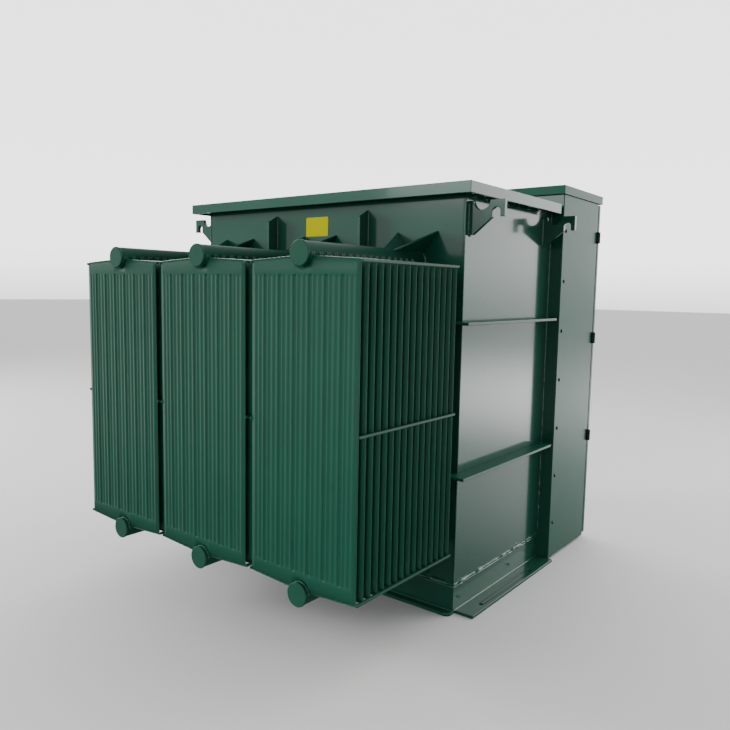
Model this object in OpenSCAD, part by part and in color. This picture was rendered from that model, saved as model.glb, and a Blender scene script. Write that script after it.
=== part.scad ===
// Three-phase pad-mounted power transformer: a welded oil tank with a bolted cover,
// three banks of pressed panel radiators on its rear wall and a terminal cabinet with
// two hinged doors on its front. Z is up, the doors face -Y, the radiators face +Y.

/* [Tank] */
// Outside width across the side walls
tank_w = 1586; // [1300:2:2200]
// Rear wall to front plate, outside
tank_d = 857; // [760:1:1200]
// Height of the wall plates
wall_h = 1677; // [1500:1:2100]
// Thickness of the wall plates
wall_t = 8; // [5:1:14]
// Thickness of the floor plate
floor_t = 12; // [8:1:20]
// Thickness of the rim that carries the cover
rim_t = 12; // [8:1:20]
// How far the rim stands out from the walls
rim_out = 50; // [36:1:56]
// How far the rim reaches inside the walls
rim_in = 40; // [25:1:80]

/* [Cover] */
// Thickness of the cover plate
cover_t = 10; // [6:1:16]
// Overhang of the cover past each side wall
cover_side = 65; // [64:1:90]
// Overhang of the cover past the rear wall
cover_rear = 76; // [64:1:110]
// Height of the turned-down lip, plate included
cover_lip = 47; // [30:1:50]
// Thickness of the lip
lip_t = 6; // [4:1:7]
// Space between the cover and the front plate
cover_gap = 35; // [20:1:60]

/* [Base] */
// Height of the skirt under the floor
skirt_h = 108; // [70:1:180]
// Thickness of the foot flanges
foot_t = 14; // [8:1:24]
// Width of the side foot flanges outside the wall
foot_out = 90; // [70:1:130]
// Width of the rear foot flange outside the wall
foot_rear = 38; // [28:1:60]
// Corner radius of the rear foot flange
foot_round = 25; // [5:1:28]
// Anchor hole radius
anchor_r = 10; // [6:0.5:14]
// Anchor holes from the side wall
anchor_out = 60; // [30:1:66]
// Rear anchor hole from the rear wall
anchor_y = 144; // [80:1:200]
// Distance between the anchor holes of one side
anchor_pitch = 500; // [300:1:540]

/* [Stiffeners] */
// Width of the belt bars that run round the tank
belt_out = 70; // [40:1:84]
// Thickness of the belt bars
belt_t = 12; // [8:1:20]
// Middle of the lower belt above the floor plate
belt_low = 488; // [300:1:600]
// Middle of the upper belt above the floor plate
belt_high = 1131; // [900:1:1250]
// Belt ends from the front plate
belt_gap = 40; // [10:1:80]
// Depth of the two upright rear stiffeners
rib_out = 62; // [40:1:84]
// Thickness of the upright stiffeners
rib_t = 10; // [6:1:16]
// Upright stiffeners from the middle of the tank
rib_x = 287; // [240:1:330]
// Top of the upright stiffeners below the rim
rib_drop = 58; // [30:1:100]
// Chamfer at the top of the upright stiffeners
rib_cut = 34; // [10:1:40]

/* [Lifting hooks] */
// How far a hook stands out
hook_out = 162; // [140:1:190]
// Plate thickness of a hook
hook_t = 20; // [12:1:30]
// Height of the hook's root on the wall
hook_h = 138; // [120:1:190]
// Width of the root at its lower end
hook_foot = 20; // [10:1:30]
// Top of the arm below the cover's lip
hook_drop = 20; // [8:1:24]
// Height of the arm over the slot
hook_arm = 30; // [20:1:36]
// Width of the slot behind the prong
hook_slot = 35; // [28:1:40]
// Thickness of the prong
hook_prong = 20; // [10:1:26]
// Height of the prong
hook_tip = 69; // [56:1:90]
// Radius of the round notch beside the wall
hook_notch = 37; // [24:0.5:40]
// Space between the wall and the round notch
hook_root = 22; // [2:0.5:30]
// Middle of the round notch below the arm's top
notch_drop = 1; // [0:0.5:14]
// Middle of the rear hooks from the rear wall
hook_rear = 36; // [24:1:120]
// Middle of the front hooks from the front plate
hook_front = 87; // [30:1:120]

/* [Radiators] */
// Panels in one bank
rad_n = 16; // [8:1:18]
// Distance from panel to panel
rad_pitch = 41; // [34:0.5:50]
// Panel width
rad_w = 520; // [440:1:530]
// Panel height at its side edges
rad_h = 1200; // [1000:1:1260]
// Rise of a panel's ends from the side edges to the middle
rad_rise = 15; // [0:1:20]
// Panel thickness over the flutes
rad_t = 10; // [7:0.5:14]
// Thickness of the two sheets where they are welded together
rad_seam = 3; // [2:0.5:4]
// Width of the welded seam round a panel
rad_rim = 11; // [6:1:16]
// Channels across one panel
rad_channels = 7; // [4:1:8]
// Width of the welded valleys between the channels
valley_w = 13; // [8:1:18]
// Panel end to the ends of the valleys
valley_end = 48; // [40:1:80]
// Shallow grooves pressed into each channel
groove_n = 2; // [0:1:3]
// Width of a shallow groove
groove_w = 6; // [3:0.5:8]
// Depth of a shallow groove
groove_d = 1; // [0.5:0.1:1.5]
// Panel end to the ends of the grooves
groove_end = 54; // [44:1:90]
// Wall to the first panel
rad_gap = 94; // [86:1:140]
// Panel bottom above the ground
rad_z = 298; // [200:1:340]
// Free space between the panels of neighbouring banks
bank_gap = 39; // [30:1:80]
// Outside radius of the header pipes
head_r = 44.5; // [36:0.5:52]
// Header axis outside the panel's end edge
head_off = 23; // [16:0.5:28]
// Header ends beyond the outer panel
head_cap = 21; // [10:1:60]
// Width of the round cap rim past the pipe
cap_rim = 2; // [1:0.5:5]
// Cap thickness
cap_t = 6; // [3:1:9]
// Free space between a panel's notch and the pipe
notch_fit = 0.3; // [0.1:0.1:0.8]
// Square section of the tie bars
tie_w = 10; // [6:1:14]
// Gusset length along the header
gus_y = 208; // [120:1:260]
// Gusset height on the wall
gus_h = 120; // [60:1:130]
// Gusset plate thickness
gus_t = 8; // [5:1:12]
// Height of a gusset's blunt end
gus_end = 6; // [2:1:20]
// Least space between a gusset and the rim
gus_room = 5; // [3:1:20]
// Gusset angle each side of upright
gus_a = 40; // [25:1:55]

/* [Cabinet] */
// Side panels outside the tank's side walls
cab_over = 66; // [60:1:160]
// Front plate to the front edge of the side panels
cab_d = 477; // [400:1:700]
// Top of the cabinet above the tank cover
cab_rise = 95; // [90:1:200]
// Sheet thickness
sheet_t = 3; // [2:0.5:5]
// Thickness of the tank's front plate
front_t = 10; // [6:1:16]
// Depth of the front plate's turned edges
front_turn = 60; // [50:1:100]
// Bottom of the side panels above the ground
cab_z = 12; // [5:1:40]
// Height of the hood's lip
hood_lip = 43; // [30:1:60]
// Overhang of the hood past the side panels
hood_over = 8; // [7:1:20]
// Overhang of the hood behind the front plate
hood_rear = 20; // [12:1:30]
// Height of the sill bar
sill_h = 60; // [40:1:100]
// Width of the sill bar
sill_w = 50; // [30:1:80]
// Width of the bottom flange of the side panels
panel_foot = 40; // [25:1:60]

/* [Doors] */
// Depth of a door pan
door_depth = 23; // [18:1:40]
// Free space between a door and what it closes on
door_gap = 7; // [5:0.5:10]
// Free space between the two doors
door_split = 6; // [5:1:14]
// Free space between the doors and the hood's lip
door_top = 6; // [5:1:14]
// Door bottom above the panel bottom
door_low = 13; // [8:1:30]
// Hinge axis outside the side panels
hinge_out = 4; // [4:0.5:8]
// Hinge barrel radius
hinge_r = 12; // [11:0.5:12.5]
// Thickness of the hinge leaves
leaf_t = 6; // [4:1:10]
// Length of the fixed hinge leaves
leaf_y = 34; // [20:1:60]
// Space between the two halves of a hinge
hinge_gap = 1; // [0.5:0.1:2]
// Hinge pin radius
pin_r = 5.5; // [4:0.25:6]
// Pin to bore, radial
pin_fit = 0.05; // [0.02:0.01:0.1]
// Height of a hinge, both halves
hinge_h = 60; // [40:1:90]
// Middle of the top hinge below the cabinet top
hinge_top = 225; // [150:1:300]
// Distance from hinge to hinge
hinge_pitch = 552; // [400:1:600]
// Free space round the hinge barrels
hinge_room = 2; // [1:0.5:3]
// Handle length
grip_h = 190; // [120:1:260]
// How far the handle stands out
grip_out = 35; // [25:1:60]
// Width of the handle's grip
grip_w = 22; // [14:1:30]
// Thickness of the handle's grip
grip_t = 12; // [8:1:16]
// Radius of the handle's hub
hub_r = 14; // [10:1:20]
// Width of the handle's back plate
plate_w = 44; // [36:1:60]
// Thickness of the handle's back plate
plate_t = 8; // [4:1:12]
// Handle from the edge of its door
grip_x = 57; // [45:1:90]

/* [Terminals] */
// Height of the bushings above the ground
bush_z = 1250; // [900:1:1400]
// Reach of the bushings from the front plate
bush_out = 170; // [120:1:240]
// Radius of a bushing flange
bush_r = 62; // [50:1:75]
// Thickness of a bushing flange
bush_t = 14; // [8:1:24]
// Radius of a bushing's neck
neck_r = 45; // [34:1:48]
// Length of a bushing's neck
neck_h = 70; // [40:1:90]
// Radius of a high-voltage bushing's tip
tip_r = 30; // [20:1:34]
// Barrier to the first bushing
bush_in = 190; // [120:1:220]
// Cabinet side to the outer low-voltage bushing
bush_side = 99; // [80:1:140]
// Thickness of a low-voltage spade
spade_t = 16; // [8:1:24]
// Width of a low-voltage spade
spade_w = 100; // [76:1:120]
// Radius of the spade holes
spade_r = 7; // [5:0.5:9]
// Distance between the spade holes
spade_p = 45; // [40:1:50]

/* [Core] */
// Space between the outer windings and the side walls
coil_room = 90; // [40:1:140]
// Space between neighbouring windings
coil_space = 50; // [20:1:80]
// Space between a winding and the yokes
coil_gap = 20; // [10:1:40]
// Side of the square core section
core_s = 210; // [150:1:240]
// Oil space over the upper yoke
oil_over = 357; // [200:1:500]

/* [Hidden] */
$fn = 48;
tank_x = tank_w / 2;
z_skirt = foot_t + skirt_h;
z_floor = z_skirt + floor_t;
z_rim = z_floor + wall_h;
z_cover = z_rim + rim_t;
z_top = z_cover + cover_t;
z_lip = z_top - cover_lip;
rad_out = rad_gap + (rad_n - 1) * rad_pitch + rad_t;
bank_pitch = rad_w + bank_gap;
channel_p = rad_w / rad_channels;
cab_x = tank_x + cab_over;
length = rad_out + head_cap + tank_d + cab_d + door_gap + door_depth + grip_out;
y_wall = length / 2 - rad_out - head_cap;
y_front = y_wall - tank_d;
y_plate = y_front - front_t;
y_side = y_front - cab_d;
y_door = y_side - door_gap;
y_skin = y_door - door_depth;
y_hinge = (y_side + y_door) / 2;
x_hinge = cab_x + hinge_out;
z_cab = z_top + cab_rise;
z_hood = z_cab - sheet_t;
z_hoodlip = z_cab - hood_lip;
z_door0 = cab_z + door_low;
z_door1 = z_hoodlip - door_top;
z_belts = [z_floor + belt_low, z_floor + belt_high];
z_head = [rad_z - head_off, rad_z + rad_h + head_off];
hv_n = 3;
lv_n = 4;
bush_pitch = (cab_x - bush_in - bush_side) / (lv_n - 1);
coil_r = (tank_w - 2 * (wall_t + coil_room + coil_space)) / 6;
coil_pitch = 2 * coil_r + coil_space;
coil_h = wall_h - 2 * (core_s + coil_gap) - oil_over;
past = 1;
green = [0.11, 0.27, 0.22];
dark = [0.05, 0.06, 0.06];
porcelain = [0.55, 0.33, 0.24];
copper = [0.72, 0.52, 0.38];
steel = [0.45, 0.47, 0.48];

// A box given by its two corners.
module span(a, b) {
  translate(a)
    cube(b - a);
}

// Copies for the left (-X) and the right (+X) side.
module both_sides() {
  children();
  mirror([1, 0, 0])
    children();
}

// Tank plates
module side_wall() {
  color(green)
    span([-tank_x, y_front, z_floor], [-tank_x + wall_t, y_wall, z_rim]);
}

module tank_left_wall() {
  side_wall();
}

module tank_right_wall() {
  mirror([1, 0, 0])
    side_wall();
}

module tank_rear_wall() {
  color(green)
    span([-tank_x + wall_t, y_wall - wall_t, z_floor], [tank_x - wall_t, y_wall, z_rim]);
}

// The front plate is wider than the tank and turns forward at both edges.
module tank_front_plate() {
  x = cab_x - sheet_t;
  color(green) {
    span([-x, y_plate, 0], [x, y_front, z_hood]);
    both_sides()
      span([-x, y_plate - front_turn, cab_z + sheet_t], [-x + leaf_t, y_plate, z_hood]);
  }
}

module tank_floor() {
  color(green)
    span([-tank_x, y_front, z_skirt], [tank_x, y_wall, z_floor]);
}

module tank_rim() {
  color(green)
    difference() {
      span([-tank_x - rim_out, y_front, z_rim], [tank_x + rim_out, y_wall + rim_out, z_cover]);
      span([-tank_x + wall_t + rim_in, y_front + rim_in + cover_gap, z_rim - past],
           [tank_x - wall_t - rim_in, y_wall - wall_t - rim_in, z_cover + past]);
    }
}

// An upturned tray: a plate with lips on both sides and at the rear.
module tank_cover() {
  x = tank_x + cover_side;
  y = y_wall + cover_rear;
  color(green)
    difference() {
      span([-x, y_front + cover_gap, z_lip], [x, y, z_top]);
      span([-x + lip_t, y_front + cover_gap - past, z_lip - past], [x - lip_t, y - lip_t, z_cover]);
    }
}

// Base rails: a skirt plate with a foot flange
module side_rail() {
  color(green)
    difference() {
      union() {
        span([-tank_x, y_front, foot_t], [-tank_x + wall_t, y_wall, z_skirt]);
        span([-tank_x - foot_out, y_front, 0], [-tank_x + wall_t, y_wall - 2 * wall_t, foot_t]);
      }
      for (i = [0, 1])
        translate([-tank_x - anchor_out, y_wall - anchor_y - i * anchor_pitch, -past])
          cylinder(r = anchor_r, h = foot_t + 2 * past);
    }
}

module left_base_rail() {
  side_rail();
}

module right_base_rail() {
  mirror([1, 0, 0])
    side_rail();
}

module rear_base_rail() {
  r = foot_round;
  color(green) {
    span([-tank_x + wall_t, y_wall - wall_t, foot_t], [tank_x - wall_t, y_wall, z_skirt]);
    linear_extrude(foot_t)
      difference() {
        translate([-tank_x, y_wall - wall_t])
          square([tank_w, foot_rear + wall_t]);
        both_sides()
          translate([-tank_x, y_wall + foot_rear])
            difference() {
              square(2 * r, center = true);
              translate([r, -r])
                circle(r);
            }
      }
  }
}

// Belt bars on three sides of the tank
module belt(z) {
  color(green)
    translate([0, 0, z - belt_t / 2])
      linear_extrude(belt_t)
        difference() {
          translate([-tank_x - belt_out, y_front + belt_gap])
            square([tank_w + 2 * belt_out, tank_d - belt_gap + belt_out]);
          translate([-tank_x, y_front])
            square([tank_w, tank_d]);
        }
}

module lower_belt() {
  belt(z_belts[0]);
}

module upper_belt() {
  belt(z_belts[1]);
}

module rear_stiffeners() {
  z0 = z_belts[1] + belt_t / 2;
  z1 = z_rim - rib_drop;
  color(green)
    both_sides()
      translate([-rib_x - rib_t / 2, y_wall, 0])
        rotate([90, 0, 90])
          linear_extrude(rib_t)
            polygon([[0, z0], [rib_out, z0], [rib_out, z1 - rib_cut], [0, z1]]);
}

// Hook plate: root on the wall, a round notch under the cover, an arm, a slot and a prong.
// The outline lies in X (out from the wall) and Z (down from the underside of the lip).
module hook_plate() {
  x_slot = hook_out - hook_prong - hook_slot;
  top = -hook_drop;
  low = top - hook_tip;
  rotate([90, 0, 0])
    translate([0, 0, -hook_t / 2])
      linear_extrude(hook_t)
        difference() {
          polygon([[0, top], [hook_out, top], [hook_out, low], [x_slot, low],
                   [hook_foot, top - hook_h], [0, top - hook_h]]);
          translate([hook_root + hook_notch, top - notch_drop])
            circle(hook_notch);
          translate([x_slot + hook_slot / 2, top - hook_arm - hook_slot / 2])
            circle(hook_slot / 2);
          translate([x_slot, low - hook_slot])
            square([hook_slot, hook_slot / 2 + hook_tip - hook_arm]);
        }
}

module lifting_hooks() {
  color(green)
    both_sides()
      for (y = [y_wall - hook_rear, y_front + hook_front])
        translate([-tank_x, y, z_lip])
          mirror([1, 0, 0])
            hook_plate();
}

// Radiators
// Outline of a panel, its ends rising to the middle, drawn in by r on all sides.
module panel_outline(r) {
  w = rad_w / 2 - r;
  side = rad_rise * 2 * r / rad_w - r;
  mid = rad_rise - r;
  polygon([[-w, -side], [0, -mid], [w, -side], [w, rad_h + side], [0, rad_h + mid], [-w, rad_h + side]]);
}

// Upright valley with round ends.
module valley(x) {
  r = valley_w / 2;
  z0 = valley_end + r;
  z1 = rad_h - valley_end - r;
  translate([x - r, z0])
    square([valley_w, z1 - z0]);
  for (z = [z0, z1])
    translate([x, z])
      circle(r);
}

// Upright groove that runs out to a point at both ends.
module groove(x) {
  r = groove_w / 2;
  z0 = groove_end;
  z1 = rad_h - groove_end;
  polygon([[x, z0], [x + r, z0 + r], [x + r, z1 - r], [x, z1], [x - r, z1 - r], [x - r, z0 + r]]);
}

module valleys() {
  for (k = [1 : rad_channels - 1])
    valley((k - rad_channels / 2) * channel_p);
}

// The grooves part the free width of each channel evenly; the outer channels end at the seam.
module grooves() {
  for (k = [0 : rad_channels - 1])
    let (a = k == 0 ? rad_rim : k * channel_p + valley_w / 2,
         b = k == rad_channels - 1 ? rad_w - rad_rim : (k + 1) * channel_p - valley_w / 2)
      for (j = [1 : 1 : groove_n])
        groove(a + (b - a) * j / (groove_n + 1) - rad_w / 2);
}

// One layer of a panel, t thick, with the round notches that seat on the header pipes.
module panel_layer(t) {
  rotate([90, 0, 0])
    linear_extrude(t, center = true)
      difference() {
        children();
        for (z = [-head_off, rad_h + head_off])
          translate([0, z])
            circle(head_r + notch_fit);
      }
}

// Two pressed sheets: welded seam, raised channels, shallow grooves in their crowns.
module rad_panel() {
  panel_layer(rad_seam)
    panel_outline(0);
  panel_layer(rad_t - 2 * groove_d)
    difference() {
      panel_outline(rad_rim);
      valleys();
    }
  panel_layer(rad_t)
    difference() {
      panel_outline(rad_rim);
      valleys();
      grooves();
    }
}

module bank_panels(b) {
  color(green)
    for (i = [0 : rad_n - 1])
      translate([b * bank_pitch, y_wall + rad_gap + rad_t / 2 + i * rad_pitch, rad_z])
        rad_panel();
}

module left_radiator_panels() {
  bank_panels(-1);
}

module middle_radiator_panels() {
  bank_panels(0);
}

module right_radiator_panels() {
  bank_panels(1);
}

module bank_headers(b) {
  color(green)
    for (z = z_head)
      translate([b * bank_pitch, y_wall, z])
        rotate([-90, 0, 0]) {
          cylinder(r = head_r, h = rad_out + head_cap - cap_t / 2);
          translate([0, 0, rad_out + head_cap - cap_t])
            cylinder(r = head_r + cap_rim, h = cap_t);
        }
}

module left_radiator_headers() {
  bank_headers(-1);
}

module middle_radiator_headers() {
  bank_headers(0);
}

module right_radiator_headers() {
  bank_headers(1);
}

module bank_ties(b) {
  color(green)
    for (x = [-rad_w / 2 - tie_w, rad_w / 2])
      for (z = [0, (rad_h - tie_w) / 2, rad_h - tie_w])
        translate([b * bank_pitch + x, y_wall + rad_gap, rad_z + z])
          cube([tie_w, rad_out - rad_gap, tie_w]);
}

module left_tie_bars() {
  bank_ties(-1);
}

module middle_tie_bars() {
  bank_ties(0);
}

module right_tie_bars() {
  bank_ties(1);
}

// Three-cornered plates that brace each header to the rear wall; the rim limits the upper ones.
module header_gussets() {
  under_rim = (z_rim - z_head[1] - gus_room) / cos(gus_a) - head_r;
  reach = [gus_h, min(gus_h, under_rim)];
  color(green)
    for (b = [-1 : 1])
      for (k = [0, 1])
        for (s = [-1, 1])
          translate([b * bank_pitch, y_wall, z_head[k]])
            mirror([0, 0, 1 - k])
              rotate([0, s * gus_a, 0])
                translate([-gus_t / 2, 0, 0])
                  rotate([90, 0, 90])
                    linear_extrude(gus_t)
                      polygon([[0, head_r], [gus_y, head_r], [gus_y, head_r + gus_end],
                               [0, head_r + reach[k]]]);
}

// Cabinet
module hinge_heights() {
  for (i = [0 : 2])
    translate([0, 0, z_cab - hinge_top - i * hinge_pitch])
      children();
}

module side_panel() {
  n = hinge_r + hinge_room;
  color(green)
    difference() {
      union() {
        span([-cab_x, y_side, cab_z], [-cab_x + sheet_t, y_front, z_hood]);
        span([-cab_x, y_side + sill_w, cab_z], [-cab_x + panel_foot, y_plate - front_t, cab_z + sheet_t]);
      }
      hinge_heights()
        translate([-cab_x - past, y_hinge - n, -hinge_h / 2 - hinge_room])
          cube([sheet_t + 2 * past, 2 * n, hinge_h + 2 * hinge_room]);
    }
}

module cabinet_left_side() {
  side_panel();
}

module cabinet_right_side() {
  mirror([1, 0, 0])
    side_panel();
}

module cabinet_hood() {
  x = cab_x + hood_over;
  y0 = y_skin - hood_over;
  y1 = y_front + hood_rear;
  color(green)
    difference() {
      span([-x, y0, z_hoodlip], [x, y1, z_cab]);
      span([-x + sheet_t, y0 + sheet_t, z_hoodlip - past], [x - sheet_t, y1 - sheet_t, z_hood]);
    }
}

module cabinet_sill() {
  x = cab_x - sheet_t;
  color(green)
    difference() {
      span([-x, y_side, cab_z], [x, y_side + sill_w, cab_z + sill_h]);
      span([-x - past, y_side + sheet_t, cab_z - past],
           [x + past, y_side + sill_w + past, cab_z + sill_h - sheet_t]);
    }
}

module compartment_barrier() {
  color(green)
    span([-sheet_t / 2, y_side + sheet_t, cab_z + sill_h], [sheet_t / 2, y_plate, z_hood]);
}

// A door is a shallow pan with clearance cuts for the fixed halves of its hinges.
module door_leaf() {
  n = hinge_r + hinge_room;
  color(green)
    difference() {
      span([-cab_x, y_skin, z_door0], [-door_split / 2, y_door, z_door1]);
      span([-cab_x + sheet_t, y_skin + sheet_t, z_door0 + sheet_t],
           [-door_split / 2 - sheet_t, y_door + past, z_door1 - sheet_t]);
      hinge_heights()
        translate([-cab_x - past, y_hinge - n, -hinge_h / 2 - hinge_room])
          cube([sheet_t + 2 * past, 2 * n, hinge_h + 2 * hinge_room]);
    }
}

module left_door() {
  door_leaf();
}

module right_door() {
  mirror([1, 0, 0])
    door_leaf();
}

// Door halves of the hinges: barrel with a bore and a leaf on the inside of the pan.
module door_knuckles() {
  z0 = hinge_gap / 2;
  color(dark)
    hinge_heights()
      difference() {
        union() {
          translate([-x_hinge, y_hinge, z0])
            cylinder(r = hinge_r, h = hinge_h / 2 - z0);
          span([-cab_x + sheet_t, y_skin + sheet_t, z0],
               [-cab_x + sheet_t + leaf_t, y_hinge, hinge_h / 2]);
        }
        translate([-x_hinge, y_hinge, -past])
          cylinder(r = pin_r + pin_fit, h = hinge_h / 2 + 2 * past);
      }
}

module left_door_knuckles() {
  door_knuckles();
}

module right_door_knuckles() {
  mirror([1, 0, 0])
    door_knuckles();
}

// Fixed hinge halves: barrel, pin and a leaf on the inside of the side panel.
module frame_hinges() {
  z1 = -hinge_gap / 2;
  color(dark)
    hinge_heights() {
      translate([-x_hinge, y_hinge, -hinge_h / 2])
        cylinder(r = hinge_r, h = hinge_h / 2 + z1);
      translate([-x_hinge, y_hinge, -past])
        cylinder(r = pin_r, h = hinge_h / 2 + past);
      span([-cab_x + sheet_t, y_hinge, -hinge_h / 2], [-cab_x + sheet_t + leaf_t, y_hinge + leaf_y, z1]);
    }
}

module left_hinges() {
  frame_hinges();
}

module right_hinges() {
  mirror([1, 0, 0])
    frame_hinges();
}

// Swing handle on the right door: back plate, hub and grip
module door_handle() {
  z_hub = grip_h / 2 - hub_r - plate_t;
  color(dark)
    translate([door_split / 2 + grip_x, y_skin, (z_door0 + z_door1) / 2]) {
      span([-plate_w / 2, -plate_t, -grip_h / 2], [plate_w / 2, 0, grip_h / 2]);
      translate([0, 0, z_hub])
        rotate([90, 0, 0])
          cylinder(r = hub_r, h = grip_out);
      span([-grip_w / 2, -grip_out, plate_w - grip_h / 2], [grip_w / 2, grip_t - grip_out, z_hub]);
    }
}

// Terminals
module bushing_row(side, count) {
  for (i = [0 : count - 1])
    translate([side * (bush_in + i * bush_pitch), y_plate, bush_z])
      rotate([90, 0, 0])
        children();
}

// Flange and neck, shared by both kinds of bushing
module bushing_neck() {
  cylinder(r = bush_r, h = bush_t);
  cylinder(r = neck_r, h = neck_h);
}

module hv_bushings() {
  color(porcelain)
    bushing_row(-1, hv_n) {
      bushing_neck();
      translate([0, 0, neck_h])
        cylinder(r1 = neck_r, r2 = tip_r, h = bush_out - neck_h);
    }
}

// Stud bushing with a flat spade that has four holes
module lv_bushings() {
  mid = (neck_h + bush_out) / 2;
  color(copper)
    bushing_row(1, lv_n) {
      bushing_neck();
      translate([0, 0, neck_h])
        difference() {
          translate([-spade_t / 2, -spade_w / 2, 0])
            cube([spade_t, spade_w, bush_out - neck_h]);
          for (a = [-1, 1])
            for (b = [-1, 1])
              translate([0, a * spade_p / 2, mid - neck_h + b * spade_p / 2])
                rotate([0, 90, 0])
                  cylinder(r = spade_r, h = spade_t + 2 * past, center = true);
        }
    }
}

// Core and windings inside the closed tank
module core_and_windings() {
  y = y_wall - tank_d / 2;
  h = coil_h + 2 * coil_gap;
  color(steel)
    translate([0, y, z_floor]) {
      for (z = [0, core_s + h])
        translate([-coil_pitch - core_s / 2, -core_s / 2, z])
          cube([2 * coil_pitch + core_s, core_s, core_s]);
      for (i = [-1 : 1])
        translate([i * coil_pitch, 0, core_s]) {
          translate([-core_s / 2, -core_s / 2, 0])
            cube([core_s, core_s, h]);
          translate([0, 0, coil_gap])
            cylinder(r = coil_r, h = coil_h);
        }
    }
}

tank_left_wall();
tank_right_wall();
tank_rear_wall();
tank_front_plate();
tank_floor();
tank_rim();
tank_cover();
left_base_rail();
right_base_rail();
rear_base_rail();
upper_belt();
lower_belt();
rear_stiffeners();
lifting_hooks();
left_radiator_panels();
middle_radiator_panels();
right_radiator_panels();
left_radiator_headers();
middle_radiator_headers();
right_radiator_headers();
left_tie_bars();
middle_tie_bars();
right_tie_bars();
header_gussets();
cabinet_left_side();
cabinet_right_side();
cabinet_hood();
cabinet_sill();
compartment_barrier();
left_door();
right_door();
left_door_knuckles();
right_door_knuckles();
left_hinges();
right_hinges();
door_handle();
hv_bushings();
lv_bushings();
core_and_windings();
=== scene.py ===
# %% [markdown]
# A pad-mounted power transformer, dressed for its portrait. The construction comes in as a fixed
# frame: every plate, pipe and door already has its real size and place in metres. This lesson adds
# what a welder, a press shop and a painter leave behind: pressed radiator sheets, weld beads,
# bolts and a coat of dark green gloss enamel.

# %% Load the frame
import math
import random

import bmesh
import bpy
from mathutils import Matrix, Vector


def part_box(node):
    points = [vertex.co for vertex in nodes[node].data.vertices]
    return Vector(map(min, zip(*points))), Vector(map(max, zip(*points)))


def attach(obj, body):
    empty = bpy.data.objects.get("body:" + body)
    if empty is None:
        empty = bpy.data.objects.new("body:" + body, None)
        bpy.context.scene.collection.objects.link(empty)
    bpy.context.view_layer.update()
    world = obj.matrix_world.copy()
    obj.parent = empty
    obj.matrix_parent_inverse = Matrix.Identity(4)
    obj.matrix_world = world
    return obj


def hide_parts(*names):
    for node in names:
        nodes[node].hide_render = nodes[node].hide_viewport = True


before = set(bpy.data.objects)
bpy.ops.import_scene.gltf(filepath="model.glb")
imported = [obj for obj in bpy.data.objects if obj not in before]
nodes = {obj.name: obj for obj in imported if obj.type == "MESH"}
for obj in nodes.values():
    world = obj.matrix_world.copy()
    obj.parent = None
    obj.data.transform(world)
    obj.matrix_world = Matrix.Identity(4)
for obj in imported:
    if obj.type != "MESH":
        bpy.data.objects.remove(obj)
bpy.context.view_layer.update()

MM = 0.001
rng = random.Random(7)

# %% [markdown]
# The camera stands where the photographer stood: off the rear left corner, at eye height. Its
# place, its three angles and its focal length were worked out from the tank's own right angles, so
# they are real measures and not adjustments by eye. A photograph is square here, which makes the
# sensor width the only film size that matters.

# %% Camera
EYE = Vector((-2.2633, 2.8782, 1.3964))
HEADING = math.radians(-142.21)
PITCH = math.radians(-6.133)
ROLL = math.radians(1.031)
SENSOR = 36.0
LENS = 34.595

camera = bpy.data.objects.new("camera", bpy.data.cameras.new("camera"))
camera.data.sensor_width = SENSOR
camera.data.lens = LENS
turn = Matrix.Rotation(HEADING, 4, "Z") @ Matrix.Rotation(math.radians(90) + PITCH, 4, "X")
camera.matrix_world = Matrix.Translation(EYE) @ turn @ Matrix.Rotation(ROLL, 4, "Z")
bpy.context.scene.collection.objects.link(camera)
bpy.context.scene.camera = camera
print("camera stands", round((EYE - Vector((0, 0, 1))).length, 2), "m from the middle of the tank")

# %% [markdown]
# Node trees get long when every node takes four lines. One small helper makes a node, sets whatever
# it is given, by property or by socket, and links its inputs. Colours are written as the sRGB hex
# values that a paint chart or a picture editor shows, and turned to linear light once.


# %% Helpers for materials
def linear(hex_colour):
    """Linear RGBA of an sRGB hex colour."""
    parts = [int(hex_colour[i:i + 2], 16) / 255 for i in (1, 3, 5)]
    return tuple(c / 12.92 if c <= 0.04045 else ((c + 0.055) / 1.055) ** 2.4 for c in parts) + (1.0,)


def add(tree, kind, links=(), **settings):
    """Adds a node, sets its properties or sockets, and links its inputs."""
    made = tree.nodes.new("ShaderNode" + kind)
    for key, value in settings.items():
        if hasattr(made, key):
            setattr(made, key, value)
        else:
            made.inputs[key.replace("_", " ")].default_value = value
    for socket, source in links:
        tree.links.new(source, made.inputs[socket])
    return made


def new_material(name):
    """An empty node material and its tree."""
    material = bpy.data.materials.new(name)
    material.use_nodes = True
    material.node_tree.nodes.clear()
    return material, material.node_tree


print("mid grey is", round(linear("#808080")[0], 3), "in linear light")

# %% [markdown]
# Gloss enamel over blasted steel plate. The paint is a dark blue-green; its clear skin mirrors the
# surroundings more strongly the flatter one looks along it, which is why the tank's side shows
# pale grey and the faces that look at the eye show green. Three things keep it from looking like
# plastic: the plate itself is slightly wavy between its welds, the sprayed skin has a faint
# orange peel, and dust settles towards the ground. On ledges the dust also takes the shine off
# whatever faces up, so their tops stay dark where their edges gleam.

# %% Enamel
TONE_MM = 260
SPECKLE_MM = 14
WAVE_HEIGHT = 1.2 * MM
PEEL_HEIGHT = 0.25 * MM
DUST = "#8f9a92"
DUST_TOP = 0.55
DUST_ROUGHNESS = 0.75


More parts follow.
